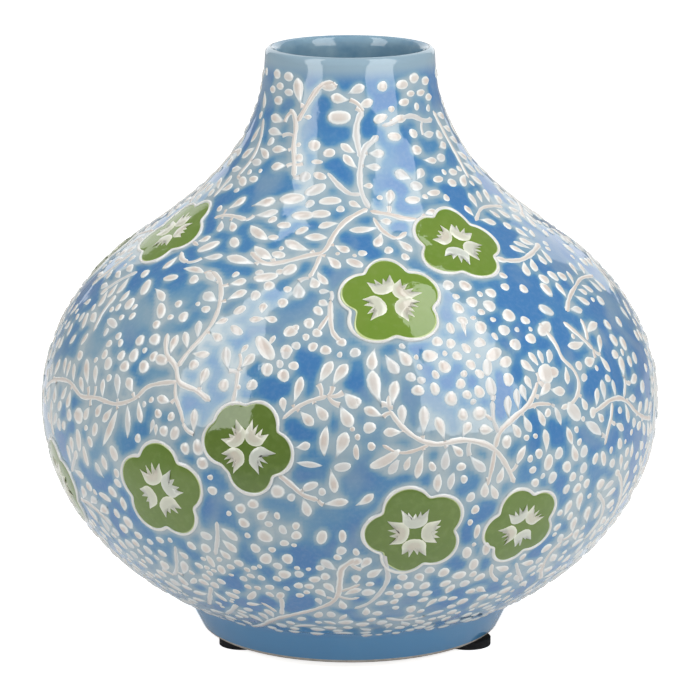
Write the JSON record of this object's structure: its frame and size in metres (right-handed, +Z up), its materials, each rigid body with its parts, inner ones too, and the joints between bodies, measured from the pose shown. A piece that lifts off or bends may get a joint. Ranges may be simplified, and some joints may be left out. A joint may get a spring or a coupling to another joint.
{
  "type": "pottery vase",
  "caption": "Squat round-bellied ceramic vase with a narrow neck, raised slip flowers under blue glaze and pads under its foot ring.",
  "frame": {"origin": "on the table under the centre of the foot, at the underside of the pads", "axes": "+Z up along the vase's axis and out of the mouth, -Y towards the front"},
  "size_m": [0.172, 0.1721, 0.166],
  "materials": {
    "clay": "bare fired stoneware, matt",
    "blue_glaze": "glossy blue glaze that pools dark between the raised slip and breaks pale on it",
    "liner_glaze": "glossy teal blue liner glaze",
    "slip": "raised cream slip under clear gloss glaze",
    "green_glaze": "glossy leaf green glaze",
    "pad": "matt black foam rubber"
  },
  "bodies": {
    "root": {"vase_body": "clay", "outer_glaze": "blue_glaze", "inner_glaze": "liner_glaze", "slip_outlines": "slip", "flower_1": "green_glaze", "flower_2": "green_glaze", "flower_3": "green_glaze", "flower_4": "green_glaze", "flower_5": "green_glaze", "flower_6": "green_glaze", "flower_7": "green_glaze", "flower_8": "green_glaze", "flower_9": "green_glaze", "flower_10": "green_glaze", "flower_11": "green_glaze", "flower_12": "green_glaze", "flower_13": "green_glaze", "flower_14": "green_glaze", "flower_15": "green_glaze", "flower_16": "green_glaze", "flower_17": "green_glaze", "flower_18": "green_glaze", "pad_right": "pad", "pad_left": "pad", "pad_back": "pad"}
  },
  "joints": []
}
